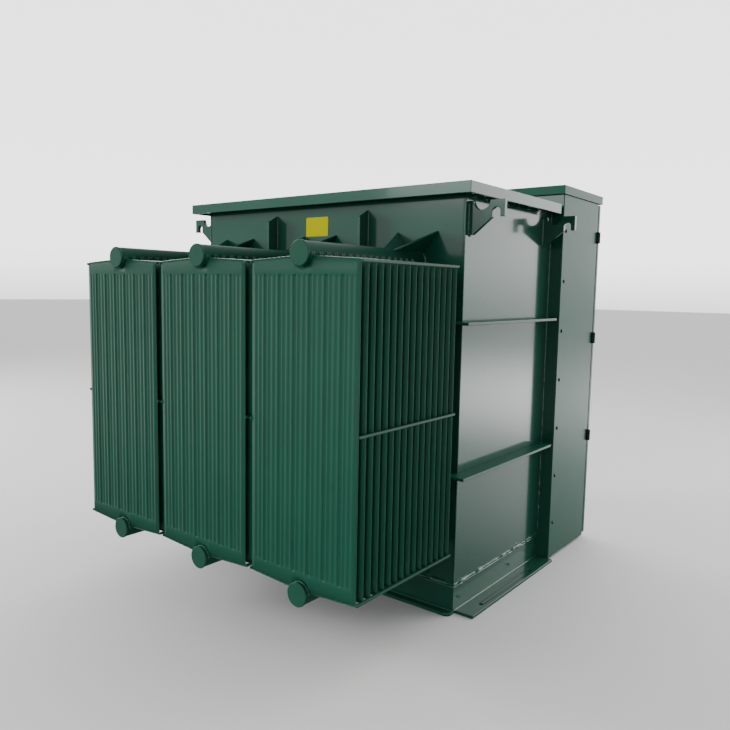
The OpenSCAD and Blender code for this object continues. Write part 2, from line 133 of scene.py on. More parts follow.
def enamel(name, deep, pale, roughness, wave_mm, peel_mm, dusty, coat, ior, dull_tops=False):
    """Enamel between two tones; wave_mm and peel_mm are the widths of plate waves and of orange peel."""
    material, tree = new_material(name)
    place = add(tree, "TexCoord").outputs["Object"]
    tone = add(tree, "TexNoise", [("Vector", place)], Scale=1 / (TONE_MM * MM), Detail=3.0, Roughness=0.6)
    colour = add(tree, "MixRGB", [("Fac", tone.outputs["Fac"])], Color1=linear(deep), Color2=linear(pale))
    height = add(tree, "SeparateXYZ", [("Vector", place)])
    settle = add(tree, "MapRange", [("Value", height.outputs["Z"])],
                 interpolation_type="SMOOTHSTEP", From_Min=0.0, From_Max=DUST_TOP, To_Min=dusty, To_Max=0.0)
    speckle = add(tree, "TexNoise", [("Vector", place)], Scale=1 / (SPECKLE_MM * MM), Detail=4.0, Roughness=0.7)
    dust = add(tree, "Math", [(0, settle.outputs["Result"]), (1, speckle.outputs["Fac"])], operation="MULTIPLY")
    painted = add(tree, "MixRGB", [("Fac", dust.outputs["Value"]), ("Color1", colour.outputs["Color"])],
                  Color2=linear(DUST))
    matt = add(tree, "MapRange", [("Value", dust.outputs["Value"])], From_Min=0.0, From_Max=1.0,
               To_Min=roughness, To_Max=DUST_ROUGHNESS)
    wave = add(tree, "TexNoise", [("Vector", place)], Scale=1 / (wave_mm * MM), Detail=1.0)
    waved = add(tree, "Bump", [("Height", wave.outputs["Fac"])], Strength=0.25, Distance=WAVE_HEIGHT)
    peel = add(tree, "TexNoise", [("Vector", place)], Scale=1 / (peel_mm * MM), Detail=1.0)
    peeled = add(tree, "Bump", [("Height", peel.outputs["Fac"]), ("Normal", waved.outputs["Normal"])],
                 Strength=0.10, Distance=PEEL_HEIGHT)
    paint = add(tree, "BsdfPrincipled",
                [("Base Color", painted.outputs["Color"]), ("Roughness", matt.outputs["Result"]),
                 ("Normal", peeled.outputs["Normal"])],
                IOR=ior, Coat_Weight=coat, Coat_Roughness=0.06, Coat_IOR=1.5)
    if dull_tops:
        facing = add(tree, "SeparateXYZ", [("Vector", add(tree, "NewGeometry").outputs["Normal"])])
        skin = add(tree, "MapRange", [("Value", facing.outputs["Z"])], From_Min=0.5, From_Max=0.9,
                   To_Min=coat, To_Max=0.0)
        tree.links.new(skin.outputs["Result"], paint.inputs["Coat Weight"])
    add(tree, "OutputMaterial", [("Surface", paint.outputs["BSDF"])])
    return material


# Tank plates: mirror gloss. The waves are drawn at 420 mm, the spacing of the welds.
plate_enamel = enamel("gloss_green_enamel_on_plate", "#134d3c", "#1a5a48", roughness=0.16, wave_mm=420,
                      peel_mm=9, dusty=0.03, coat=0.40, ior=1.50)
# Ledges: the same gloss on their edges, but dust has dulled their tops.
ledge_enamel = enamel("dulled_green_enamel_on_ledges", "#134d3c", "#1a5a48", roughness=0.45, wave_mm=420,
                      peel_mm=9, dusty=0.03, coat=0.9, ior=1.20, dull_tops=True)
# Pressed radiator sheet: dipped, so a softer gloss with hardly any peel.
sheet_enamel = enamel("dipped_green_enamel_on_sheet", "#0e4233", "#134d3b", roughness=0.42, wave_mm=180,
                      peel_mm=12, dusty=0.06, coat=0.0, ior=1.40)
# Header pipes: brushed by hand, hardly a mirror.
pipe_enamel = enamel("brushed_green_enamel_on_pipe", "#0d3d30", "#124a3a", roughness=0.5, wave_mm=180,
                     peel_mm=12, dusty=0.0, coat=0.0, ior=1.22)
# Beads take the same spray as the plates, thicker and lumpier, so they glint; their two tones are painted lighter
# than the plate's, as a painted highlight along every bead.
bead_enamel_with_painted_highlight = enamel("gloss_green_enamel_on_welds_with_painted_highlight", "#1a5443", "#2b6a57", roughness=0.14, wave_mm=40,
                     peel_mm=5, dusty=0.0, coat=0.6, ior=1.52)
# The cabinet is thinner sheet, sprayed once: less of a mirror than the tank.
cabinet_enamel = enamel("green_enamel_on_cabinet_sheet", "#15513f", "#1b5d4a", roughness=0.26, wave_mm=300,
                        peel_mm=10, dusty=0.04, coat=0.0, ior=1.25)
print("enamels:", [m.name for m in (plate_enamel, ledge_enamel, sheet_enamel, pipe_enamel, bead_enamel_with_painted_highlight,
                                    cabinet_enamel)])

# %% [markdown]
# The few surfaces that aren't green: hinges, handle and cabinet bolts in black powder coat, which
# has a fine matt skin; a bare yellow plate; bushings of brown cast resin; tinned spades; varnished
# core steel deep inside.


# %% Small finishes
def plain_finish(name, dark, light, grain_mm, roughness, relief_mm, metallic=0.0, **shader):
    """A finish that varies between two tones in grains of one size, with a little relief."""
    material, tree = new_material(name)
    place = add(tree, "TexCoord").outputs["Object"]
    grain = add(tree, "TexNoise", [("Vector", place)], Scale=1 / (grain_mm * MM), Detail=3.0, Roughness=0.6)
    colour = add(tree, "MixRGB", [("Fac", grain.outputs["Fac"])], Color1=linear(dark), Color2=linear(light))
    gloss = add(tree, "MapRange", [("Value", grain.outputs["Fac"])], From_Min=0.3, From_Max=0.7,
                To_Min=roughness * 0.85, To_Max=roughness * 1.15)
    bump = add(tree, "Bump", [("Height", grain.outputs["Fac"])], Strength=0.3, Distance=relief_mm * MM)
    surface = add(tree, "BsdfPrincipled",
                  [("Base Color", colour.outputs["Color"]), ("Roughness", gloss.outputs["Result"]),
                   ("Normal", bump.outputs["Normal"])], Metallic=metallic, **shader)
    add(tree, "OutputMaterial", [("Surface", surface.outputs["BSDF"])])
    return material


# Powder coat: black resin dust baked on, a satin skin with a fine grain.
black_coat = plain_finish("black_powder_coat", "#0b0d0d", "#191c1c", grain_mm=3, roughness=0.42, relief_mm=0.2)
# Enamelled sheet: a flat, even yellow; a stronger gloss would mirror the pale room and wash it out.
yellow_plate = plain_finish("yellow_enamelled_plate", "#bcb800", "#c2be00", grain_mm=60, roughness=0.5,
                            relief_mm=0.05, IOR=1.05)
# Cast resin: smooth from the mould and glossy, faintly cloudy.
resin = plain_finish("brown_cast_resin", "#3d1d12", "#532a1b", grain_mm=25, roughness=0.22, relief_mm=0.1)
# Tinned copper: a warm grey metal with a soft sheen.
tinned = plain_finish("tinned_copper", "#8f8a80", "#b9b3a6", grain_mm=10, roughness=0.32, relief_mm=0.1,
                      metallic=1.0)
# Stacked core sheets under varnish: dark grey and half metallic.
core_steel = plain_finish("varnished_core_steel", "#3c3e40", "#55585b", grain_mm=6, roughness=0.5, relief_mm=0.2,
                          metallic=0.6)
print("small finishes:", black_coat.name, yellow_plate.name, resin.name, tinned.name, core_steel.name)

# %% [markdown]
# Every node of the frame gets its finish here. The plates come in with razor edges, which no sheared
# and ground plate has, and razor edges never catch the light. Welding the loose triangles together
# and rounding the corners with two modifiers leaves the node itself untouched.

# %% Dress the frame
BLACK_NODES = {"left_hinges", "right_hinges", "left_door_knuckles", "right_door_knuckles", "door_handle"}
OTHER_NODES = {"hv_bushings": resin, "lv_bushings": tinned, "core_and_windings": core_steel,
               "left_tie_bars": sheet_enamel, "middle_tie_bars": sheet_enamel, "right_tie_bars": sheet_enamel}
CABINET_NODES = ("cabinet_left_side", "cabinet_right_side", "cabinet_hood", "cabinet_sill",
                 "compartment_barrier", "left_door", "right_door")
LEDGE_NODES = ("upper_belt", "lower_belt")
OTHER_NODES.update({name: cabinet_enamel for name in CABINET_NODES})
OTHER_NODES.update({name: ledge_enamel for name in LEDGE_NODES})
EDGE = 1.6 * MM
HINGE_EDGE = 0.8 * MM


def finish_of(name):
    """The material that a node of the frame wears."""
    if name in BLACK_NODES:
        return black_coat
    return OTHER_NODES.get(name, plate_enamel)


for name, item in nodes.items():
    item.data.materials.clear()
    item.data.materials.append(finish_of(name))
    merge = item.modifiers.new("merge", "WELD")
    merge.merge_threshold = 0.01 * MM
    ease = item.modifiers.new("ease", "BEVEL")
    ease.width = HINGE_EDGE if name in BLACK_NODES else EDGE
    ease.segments = 2
    ease.limit_method = "ANGLE"
    ease.angle_limit = math.radians(40)
print("dressed", len(nodes), "nodes")

# %% [markdown]
# New pieces are made in a bmesh and handed over by one function: it recalculates the normals,
# smooths the faces that should be smooth, names the finish and ties the piece to the body that
# carries it.


# %% Hand over a piece
def piece(name, bm, material, body="tank", crease=35, stands_for=()):
    """Makes an object of a finished bmesh; edges sharper than crease degrees stay sharp."""
    bmesh.ops.holes_fill(bm, edges=[e for e in bm.edges if e.is_boundary])
    bmesh.ops.recalc_face_normals(bm, faces=bm.faces)
    for face in bm.faces:
        face.smooth = True
    for edge in bm.edges:
        edge.smooth = len(edge.link_faces) == 2 and edge.calc_face_angle(0.0) < math.radians(crease)
    mesh = bpy.data.meshes.new(name)
    bm.to_mesh(mesh)
    bm.free()
    mesh.materials.append(material)
    made = bpy.data.objects.new(name, mesh)
    bpy.context.scene.collection.objects.link(made)
    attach(made, body)
    if stands_for:
        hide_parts(*stands_for)
    mesh.calc_loop_triangles()
    print(name, "has", len(mesh.loop_triangles), "triangles")
    return made


# %% [markdown]
# The radiators are the heart of the likeness. A panel is two thin sheets pressed with seven
# channels and welded together round the edge and along the valleys between the channels. One could
# draw a wavy outline and extrude it, but then the valleys would run out at the top and bottom. On
# the real panel they stop in round ends below a flat zone that feeds oil into all the channels. So a
# grid is laid over the panel, dense only where the sheet bends, and each point is pushed out by the
# height of the sheet there. The grid's end rows follow the roof-shaped ends and the notch for the
# header pipe. A mirrored copy makes the second sheet and a bridge closes the seam.

# %% Measures of a radiator panel
PANEL_W = 520 * MM
PANEL_H = 1200 * MM
PANEL_Z = 298 * MM
END_RISE = 15 * MM
CHANNELS = 7
SEAM_W = 9 * MM
SEAM_HALF = 1.1 * MM
CROWN_HALF = 5.0 * MM
BEND = 4.5 * MM
VALLEY_HALF = 5.5 * MM
VALLEY_END = 48 * MM
WAVE_END = 61 * MM
WAVE_DEPTH = 2.0 * MM
WAVES = 3
PIPE_R = 44.5 * MM
PIPE_OFF = 23 * MM
PANELS = 16
PANEL_PITCH = 41 * MM
pitch = PANEL_W / CHANNELS


def ease_step(t):
    """Smooth rise from 0 to 1."""
    t = min(max(t, 0.0), 1.0)
    return t * t * (3 - 2 * t)


def end_line(x):
    """How far the panel's end lies outside its corner line at x, with the pipe's notch."""
    roof = END_RISE * (1 - abs(x) / (PANEL_W / 2))
    if abs(x) >= PIPE_R:
        return roof
    return min(roof, PIPE_OFF - math.sqrt(PIPE_R ** 2 - x ** 2))


def channel_of(x):
    """Left and right limit of the channel that x lies in."""
    k = min(int((x + PANEL_W / 2) / pitch), CHANNELS - 1)
    left = -PANEL_W / 2 + (SEAM_W if k == 0 else k * pitch)
    right = -PANEL_W / 2 + (PANEL_W - SEAM_W if k == CHANNELS - 1 else (k + 1) * pitch)
    return left, right


def sheet_height(x, z):
    """Half thickness of the panel at x across and z up from its lower corners."""
    to_end = min(z + end_line(x), PANEL_H + end_line(x) - z)
    to_side = PANEL_W / 2 - abs(x)
    crown = ease_step((min(to_end, to_side) - SEAM_W) / BEND)
    inward = min(z, PANEL_H - z)
    left, right = channel_of(x)
    groove = (right - left) / WAVES
    aside = x - left - groove * round((x - left) / groove)
    off = math.hypot(aside, max(WAVE_END - inward, 0.0)) / (groove / 2)
    crown_half = CROWN_HALF - WAVE_DEPTH * (0.5 + 0.5 * math.cos(math.pi * min(off, 1.0)))
    nearest = round((x + PANEL_W / 2) / pitch)
    if 0 < nearest < CHANNELS:
        side = x + PANEL_W / 2 - nearest * pitch
        below = max(VALLEY_END + VALLEY_HALF + BEND - inward, 0.0)
        crown *= ease_step((math.hypot(side, below) - VALLEY_HALF) / BEND)
    return SEAM_HALF + (crown_half - SEAM_HALF) * crown


print("channels lie", round(pitch / MM, 1), "mm apart")

# %% [markdown]
# The outer panel of each bank is seen full on, so its grid is fine. The fifteen behind it show only
# their edges and their tops, and a coarser grid serves them. Row and column positions come from the
# bends themselves: beside each valley, along each wave and round the valley ends.


# %% Grid lines of a panel
def columns(fine):
    """Positions across the panel where the sheet bends."""
    bends = (-1.0, -0.5, 0.0, 0.5, 1.0) if fine else (-1.0, 0.0, 1.0)
    parts = 24 if fine else 6
    marks = {-PANEL_W / 2, PANEL_W / 2, PIPE_R, -PIPE_R}
    for sign in (-1, 1):
        for bend in (0.0, 0.5, 1.0):
            marks.add(sign * (PANEL_W / 2 - SEAM_W - bend * BEND))
    for k in range(CHANNELS):
        left, right = channel_of(-PANEL_W / 2 + (k + 0.5) * pitch)
        free = VALLEY_HALF + BEND
        start = left + (BEND if k == 0 else free)
        stop = right - (BEND if k == CHANNELS - 1 else free)
        for j in range(parts + 1):
            marks.add(start + (stop - start) * j / parts)
        if k:
            for sign in (-1, 1):
                for bend in bends:
                    marks.add(-PANEL_W / 2 + k * pitch + sign * (VALLEY_HALF + BEND * (bend + 1) / 2))
    ordered = sorted(marks)
    return [x for i, x in enumerate(ordered) if i == 0 or x - ordered[i - 1] > 0.4 * MM]


def rows(fine):
    """Heights in the lower end zone where the sheet bends, from the valley ends up."""
    steps = 8 if fine else 4
    top = VALLEY_END + VALLEY_HALF + BEND
    low = VALLEY_END - 2 * MM
    zone = [low + (top - low) * j / steps for j in range(steps + 1)]
    return zone + [top + 4 * MM, top + 9 * MM]


def pressed_panel(fine):
    """A bmesh of one panel, standing on z = 0 at its lower corners, in the plane y = 0."""
    xs = columns(fine)
    seam_rows = (0.0, SEAM_W, SEAM_W + BEND / 2, SEAM_W + BEND)
    zone = rows(fine)
    count = 2 * (len(seam_rows) + len(zone))
    bm = bmesh.new()
    bmesh.ops.create_grid(bm, x_segments=len(xs) - 1, y_segments=count - 1, size=1.0)
    for v in bm.verts:
        x = xs[round((v.co.x + 1) / 2 * (len(xs) - 1))]
        row = round((v.co.y + 1) / 2 * (count - 1))
        upper = row >= count // 2
        i = count - 1 - row if upper else row
        up = seam_rows[i] - end_line(x) if i < len(seam_rows) else zone[i - len(seam_rows)]
        z = PANEL_H - up if upper else up
        v.co = (x, sheet_height(x, z), z)
    front = bm.faces[:]
    twin = bmesh.ops.duplicate(bm, geom=front)
    for item in twin["geom"]:
        if isinstance(item, bmesh.types.BMVert):
            item.co.y = -item.co.y
    rim = [e for e in bm.edges if e.is_boundary]
    bmesh.ops.bridge_loops(bm, edges=rim)
    return bm


print(len(columns(True)), "columns on an outer panel,", len(columns(False)), "on the others")

# %% [markdown]
# A bank is sixteen panels on one pair of headers, and there are three banks. The two kinds of panel
# are built once, as meshes, and stamped into place; each bank becomes one piece that stands for the
# plain panels of the frame.

# %% Radiator banks
BANKS = {"left": -1, "middle": 0, "right": 1}
BANK_PITCH = 559 * MM
first_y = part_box("middle_radiator_panels")[0][1] + CROWN_HALF


def stamp(bm, source, offset):
    """Adds a moved copy of a mesh to a bmesh."""
    start = len(bm.verts)
    bm.from_mesh(source)
    bm.verts.ensure_lookup_table()
    bmesh.ops.translate(bm, verts=bm.verts[start:], vec=offset)


panel_meshes = {}
for fine in (True, False):
    source = pressed_panel(fine)
    panel_meshes[fine] = bpy.data.meshes.new("panel_source")
    source.to_mesh(panel_meshes[fine])
    source.free()

for bank, side in BANKS.items():
    bm = bmesh.new()
    for k in range(PANELS):
        outer = k == PANELS - 1
        stamp(bm, panel_meshes[outer], (side * BANK_PITCH, first_y + k * PANEL_PITCH, PANEL_Z))
    piece(f"{bank}_pressed_panels", bm, sheet_enamel, crease=100, stands_for=[f"{bank}_radiator_panels"])

# %% [markdown]
# Headers are plain steel pipes with a disc welded on the outer end. A lathe would turn such a
# thing, and so does spin: a short profile goes once round the pipe's axis.

# %% Header pipes
pipe_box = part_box("middle_radiator_headers")
HEAD_Y0 = pipe_box[0][1]
HEAD_Y1 = pipe_box[1][1]
CAP_R = (pipe_box[1][0] - pipe_box[0][0]) / 2
HEAD_Z = (pipe_box[0][2] + CAP_R, pipe_box[1][2] - CAP_R)
CAP_T = 6 * MM
CAP_EDGE = 2.5 * MM
TURN_STEPS = 56


def turned(bm, profile, centre, along):
    """Spins a profile of (radius, distance) points round the axis through centre."""
    helper = Vector((0, 0, 1)) if abs(along.z) < 0.9 else Vector((1, 0, 0))
    out = along.cross(helper).normalized()
    verts = [bm.verts.new(centre + out * r + along * d) for r, d in profile]
    edges = [bm.edges.new(pair) for pair in zip(verts, verts[1:])]
    bmesh.ops.spin(bm, geom=verts + edges, cent=centre, axis=along, angle=2 * math.pi,
                   steps=TURN_STEPS, use_merge=True)


for bank, side in BANKS.items():
    bm = bmesh.new()
    for z in HEAD_Z:
        reach = HEAD_Y1 - HEAD_Y0
        profile = [(0.0, 0.0), (PIPE_R, 0.0), (PIPE_R, reach - CAP_T), (CAP_R, reach - CAP_T),
                   (CAP_R, reach - CAP_EDGE), (CAP_R - CAP_EDGE, reach), (0.0, reach)]
        turned(bm, profile, Vector((side * BANK_PITCH, HEAD_Y0, z)), Vector((0, 1, 0)))
    bmesh.ops.remove_doubles(bm, verts=bm.verts, dist=0.01 * MM)
    pipes = piece(f"{bank}_header_pipes", bm, pipe_enamel, crease=30, stands_for=[f"{bank}_radiator_headers"])
    # The caps look along +Y and wear the same dipped enamel as the panels.
    pipes.data.materials.append(sheet_enamel)
    for face in pipes.data.polygons:
        face.material_index = int(face.normal.y > 0.5)

# %% [markdown]
# A weld bead is a row of frozen ripples. Each bead here starts as a six-sided ring that spin carries
# along the seam in short steps, and every ring is swollen or pinched a little: a regular ripple from
# the welder's rhythm, a random one from their hand, and on long seams whole runs that came out fat or
# thin. Half of the bead sinks into the plates, as the real one is melted into them.


# %% Weld beads
RIPPLE = 9 * MM
RUN_RINGS = 3
THINNEST = 0.3
TAPER = 0.4


def join(bm, part):
    """Adds a finished part to a bmesh and frees it."""
    carrier = bpy.data.meshes.new("carrier")
    part.to_mesh(carrier)
    part.free()
    bm.from_mesh(carrier)
    bpy.data.meshes.remove(carrier)


def bead(bm, a, b, radius, ripple, rough=0.16, swell=0.18, uneven=0.0):
    """A rippled bead from a to b; ripple is the step between its rings, uneven how much its runs differ."""
    a, b = Vector(a), Vector(b)
    axis = (b - a).normalized()
    steps = max(round((b - a).length / ripple), 2)
    part = bmesh.new()
    place = Matrix.Translation(a) @ axis.to_track_quat("Z", "Y").to_matrix().to_4x4()
    bmesh.ops.create_circle(part, segments=6, radius=radius, matrix=place)
    bmesh.ops.spin(part, geom=part.verts[:] + part.edges[:], cent=a, axis=axis, dvec=(b - a) / steps,
                   angle=0.0, steps=steps)
    scale = [1 + swell * (1 if i % 2 else -1) + rng.uniform(-rough, rough) for i in range(steps + 1)]
    runs = [rng.uniform(-uneven, uneven) for k in range(steps // RUN_RINGS + 1)]
    scale = [max(ring + runs[i // RUN_RINGS], THINNEST) for i, ring in enumerate(scale)]
    scale[0] = scale[-1] = TAPER
    for v in part.verts:
        along = (v.co - a).dot(axis)
        core = a + axis * along
        v.co = core + (v.co - core) * scale[round(along / (b - a).length * steps)]
    join(bm, part)


def arc_bead(bm, centre, along, radius, size, ripple, start, sweep=2 * math.pi, swell=0.18):
    """A rippled bead on a circle round an axis; start is the direction where it begins."""
    steps = max(round(sweep * radius / ripple), 6)
    part = bmesh.new()
    heading = along.cross(start).to_track_quat("Z", "Y").to_matrix().to_4x4()
    bmesh.ops.create_circle(part, segments=6, radius=size,
                            matrix=Matrix.Translation(centre + start * radius) @ heading)
    bmesh.ops.spin(part, geom=part.verts[:] + part.edges[:], cent=centre, axis=along, angle=sweep, steps=steps,
                   use_merge=sweep > 6.0)
    for v in part.verts:
        arm = v.co - centre
        arm -= along * arm.dot(along)
        core = centre + arm.normalized() * radius
        angle = math.atan2(along.dot(start.cross(arm)), start.dot(arm)) % (2 * math.pi)
        v.co = core + (v.co - core) * (1 + swell * (1 if round(angle / sweep * steps) % 2 else -1))
    join(bm, part)


print("ripples are", round(RIPPLE / MM), "mm apart, on rough seams more")

# %% [markdown]
# The tank's own seams: the walls stand on the floor plate, the floor plate on the base rails, and the
# walls meet at the corners. The places come from the frame, so the beads lie exactly in the joints.
# The floor seam is laid by hand and is the roughest.

# %% Seams of the tank
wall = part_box("tank_rear_wall")
left_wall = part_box("tank_left_wall")
floor_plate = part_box("tank_floor")
TANK_X = -left_wall[0][0]
REAR_Y = wall[1][1]
FRONT_Y = left_wall[0][1]
FLOOR_TOP = floor_plate[1][2]
FLOOR_LOW = floor_plate[0][2]
FOOT_TOP = 14 * MM
WALL_TOP = wall[1][2]

bm = bmesh.new()
# Height, radius, ripple, roughness and unevenness of each seam.
FLOOR_SEAMS = ((FLOOR_TOP, 6.5 * MM, 13 * MM, 0.45, 0.60),
               (FLOOR_LOW, 4.0 * MM, 13 * MM, 0.35, 0.45),
               (FOOT_TOP, 4.5 * MM, RIPPLE, 0.10, 0.0))
for z, size, ripple, rough, uneven in FLOOR_SEAMS:
    for side in (-1, 1):
        bead(bm, (side * TANK_X, FRONT_Y, z), (side * TANK_X, REAR_Y, z), size, ripple, rough, uneven=uneven)
    bead(bm, (-TANK_X, REAR_Y, z), (TANK_X, REAR_Y, z), size, ripple, rough, uneven=uneven)
piece("floor_plate_welds", bm, bead_enamel_with_painted_highlight, crease=80)

bm = bmesh.new()
for side in (-1, 1):
    bead(bm, (side * TANK_X, FRONT_Y, FLOOR_TOP), (side * TANK_X, FRONT_Y, WALL_TOP), 4.5 * MM, 13 * MM, 0.45)
    bead(bm, (side * TANK_X, REAR_Y, FLOOR_TOP), (side * TANK_X, REAR_Y, WALL_TOP), 3 * MM, 10 * MM, 0.06, 0.04)
piece("corner_seam_welds", bm, bead_enamel_with_painted_highlight, crease=80)

# %% [markdown]
# Belts, uprights and lifting hooks are flat bars welded on edge. The belts have their bead on the
# lower side; the hooks carry the whole weight and get the fattest beads.

# %% Welds of belts, stiffeners and hooks
bm = bmesh.new()
for belt in ("lower_belt", "upper_belt"):
    low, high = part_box(belt)
    for side in (-1, 1):
        bead(bm, (side * TANK_X, low[1], low[2]), (side * TANK_X, REAR_Y, low[2]), 4 * MM, RIPPLE)
    bead(bm, (-TANK_X, REAR_Y, low[2]), (TANK_X, REAR_Y, low[2]), 4 * MM, RIPPLE)
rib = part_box("rear_stiffeners")
RIB_T = 10 * MM
for side in (-1, 1):
    for edge_x in (rib[1][0], rib[1][0] - RIB_T):
        bead(bm, (side * edge_x, REAR_Y, rib[0][2]), (side * edge_x, REAR_Y, rib[1][2]), 3.5 * MM, RIPPLE)
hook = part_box("lifting_hooks")
HOOK_T = 20 * MM
for side in (-1, 1):
    for y in (hook[1][1], hook[1][1] - HOOK_T, hook[0][1], hook[0][1] + HOOK_T):
        bead(bm, (side * TANK_X, y, hook[0][2] - 4 * MM), (side * TANK_X, y, hook[1][2]), 6 * MM, 10 * MM, 0.25)
    for y in (hook[1][1] - HOOK_T / 2, hook[0][1] + HOOK_T / 2):
        bead(bm, (side * TANK_X, y - HOOK_T / 2, hook[0][2]), (side * TANK_X, y + HOOK_T / 2, hook[0][2]),
             7 * MM, 8 * MM, 0.25)
piece("stiffener_and_hook_welds", bm, bead_enamel_with_painted_highlight, crease=80)

# %% [markdown]
# Where a header pipe meets the tank wall a bead runs right round it, another closes the cap, and
# each panel is welded to the pipe along its notch. Those last beads show as the row of pale lumps
# under the pipe, pale partly from the painted highlight in the beads' lighter paint.

# %% Welds of headers, panels and gussets
ALONG = Vector((0, 1, 0))
UP = Vector((0, 0, 1))
GUSSET_LEAN = math.radians(40)
GUSSET_Y = 208 * MM
GUSSET_H = 120 * MM

bm = bmesh.new()
for side in BANKS.values():
    for z, up in zip(HEAD_Z, (-1, 1)):
        centre = Vector((side * BANK_PITCH, HEAD_Y0, z))
        arc_bead(bm, centre, ALONG, PIPE_R, 5 * MM, RIPPLE, UP)
        arc_bead(bm, centre + ALONG * (HEAD_Y1 - HEAD_Y0 - CAP_T), ALONG, PIPE_R, 2.5 * MM, 8 * MM, UP)
        for lean in (-1, 1):
            ray = Vector((lean * math.sin(GUSSET_LEAN), 0, up * math.cos(GUSSET_LEAN)))
            root = centre + ray * PIPE_R
            bead(bm, root, root + ALONG * GUSSET_Y, 4 * MM, RIPPLE)
            bead(bm, root, root + ray * GUSSET_H, 4 * MM, RIPPLE)
piece("header_and_gusset_welds", bm, bead_enamel_with_painted_highlight, crease=80)

NOTCH_HALF = math.radians(97)
bm = bmesh.new()
for side in BANKS.values():
    for z, inward in zip(HEAD_Z, (1, -1)):
        start = Matrix.Rotation(-NOTCH_HALF, 3, ALONG) @ (UP * inward)
        for k in range(PANELS):
            for face in (-1, 1):
                centre = Vector((side * BANK_PITCH, first_y + k * PANEL_PITCH + face * CROWN_HALF, z))
                arc_bead(bm, centre, ALONG, PIPE_R, 3.6 * MM, 11 * MM, start, 2 * NOTCH_HALF)
piece("panel_notch_welds", bm, bead_enamel_with_painted_highlight, crease=80)

# %% [markdown]
# The roof-shaped ends of a panel are closed by a bead along the edge. Seen along the bank, the
# ends of the inner panels make a pale, lumpy band beside the header pipe, pale partly from the
# painted highlight in the beads' lighter paint.

# %% Edge welds of the panels
EDGE_BEAD = 2.4 * MM
NOTCH_X = 44 * MM
bm = bmesh.new()
for side in BANKS.values():
    for k in range(PANELS):
        y = first_y + k * PANEL_PITCH
        for run in (-1, 1):
            for base, up in ((PANEL_Z, -1), (PANEL_Z + PANEL_H, 1)):
                inner = (side * BANK_PITCH + run * NOTCH_X, y, base + up * end_line(NOTCH_X))
                outer = (side * BANK_PITCH + run * PANEL_W / 2, y, base)
                bead(bm, inner, outer, EDGE_BEAD, 12 * MM, 0.25)
piece("panel_edge_welds", bm, bead_enamel_with_painted_highlight, crease=80)

# %% [markdown]
# Fasteners. The cover is bolted to the rim all round, and the nuts show from below between the
# wall and the lip. A hexagon nut is a six-sided cone, a little narrower at its free end, with the tip
# of its stud below it. There are many of them, so each stays at a few dozen faces.

# %% Cover nuts
NUT_R = 11 * MM
NUT_H = 10 * MM
STUD_R = 6 * MM
STUD_H = 18 * MM
NUT_TIP = 0.86
STUD_TIP = 0.85
RIM_STEP = 105 * MM
FIRST_NUT = 12 * MM
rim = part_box("tank_rim")
rim_low = rim[0][2]


def nut(bm, x, y, z):
    """A nut and the end of its stud, hanging from z."""
    bmesh.ops.create_cone(bm, cap_ends=True, segments=6, radius1=NUT_R * NUT_TIP, radius2=NUT_R, depth=NUT_H,
                          matrix=Matrix.Translation((x, y, z - NUT_H / 2)))
    bmesh.ops.create_cone(bm, cap_ends=True, segments=12, radius1=STUD_R * STUD_TIP, radius2=STUD_R, depth=STUD_H,
                          matrix=Matrix.Translation((x, y, z - STUD_H / 2)))


bm = bmesh.new()
side_run = int((REAR_Y - FRONT_Y) / RIM_STEP)
rear_run = int(2 * TANK_X / RIM_STEP)
bolt_x = (TANK_X + rim[1][0]) / 2
bolt_y = (REAR_Y + rim[1][1]) / 2
for k in range(side_run + 1):
    for side in (-1, 1):
        nut(bm, side * bolt_x, REAR_Y - FIRST_NUT - k * RIM_STEP, rim_low)
for k in range(rear_run + 1):
    nut(bm, (k - rear_run / 2) * RIM_STEP, bolt_y, rim_low)
piece("rim_nuts", bm, plate_enamel)

# %% [markdown]
# The cabinet's side sheets are held to the tank's front plate by a row of seven round heads a side. A
# round head is a body of revolution, so its profile is spun like the header pipes.

# %% Cabinet bolts
side_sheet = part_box("cabinet_left_side")
CABINET_X = -side_sheet[0][0]
HEAD_R = 9 * MM
HEAD_H = 5 * MM
BOLT_Y = side_sheet[1][1] - 38 * MM
BOLT_TOP = 1707 * MM
BOLT_STEP = 251.5 * MM
BOLTS = 7
bm = bmesh.new()
for side in (-1, 1):
    for k in range(BOLTS):
        centre = Vector((side * CABINET_X, BOLT_Y, BOLT_TOP - k * BOLT_STEP))
        profile = [(HEAD_R, 0.0), (HEAD_R, HEAD_H * 0.35), (HEAD_R * 0.8, HEAD_H * 0.75), (HEAD_R * 0.4, HEAD_H),
                   (0.0, HEAD_H)]
        turned(bm, profile, centre, Vector((side, 0, 0)))
bmesh.ops.remove_doubles(bm, verts=bm.verts, dist=0.01 * MM)
piece("cabinet_side_bolts", bm, black_coat)

# %% [markdown]
# A bare yellow plate sits on the rear wall between the two uprights: a thin enamelled sheet with
# rounded corners. A cube is stretched to its size and the bevel operator rounds the four corners.

# %% Yellow plate
PLATE_X = (-52 * MM, 87 * MM)
PLATE_Z = (1646 * MM, 1736 * MM)
PLATE_T = 1.5 * MM
PLATE_ROUND = 6 * MM
bm = bmesh.new()
size = Vector((PLATE_X[1] - PLATE_X[0], PLATE_T, PLATE_Z[1] - PLATE_Z[0]))
middle = Vector((sum(PLATE_X) / 2, REAR_Y + PLATE_T / 2, sum(PLATE_Z) / 2))
bmesh.ops.create_cube(bm, size=1.0, matrix=Matrix.Translation(middle) @ Matrix.Diagonal((*size, 1.0)))
corners = [e for e in bm.edges if abs((e.verts[0].co - e.verts[1].co).y) > PLATE_T / 2]
bmesh.ops.bevel(bm, geom=corners, offset=PLATE_ROUND, offset_type="OFFSET", segments=5, profile=0.5,
                affect="EDGES", material=-1)
piece("yellow_rear_plate", bm, yellow_plate)

# %% [markdown]
# The studio floor is a wide pale sheet. A floor this pale would throw light up at the panels, whose
# lower halves are in shade on the real one, so it takes shadows but gives no bounce.

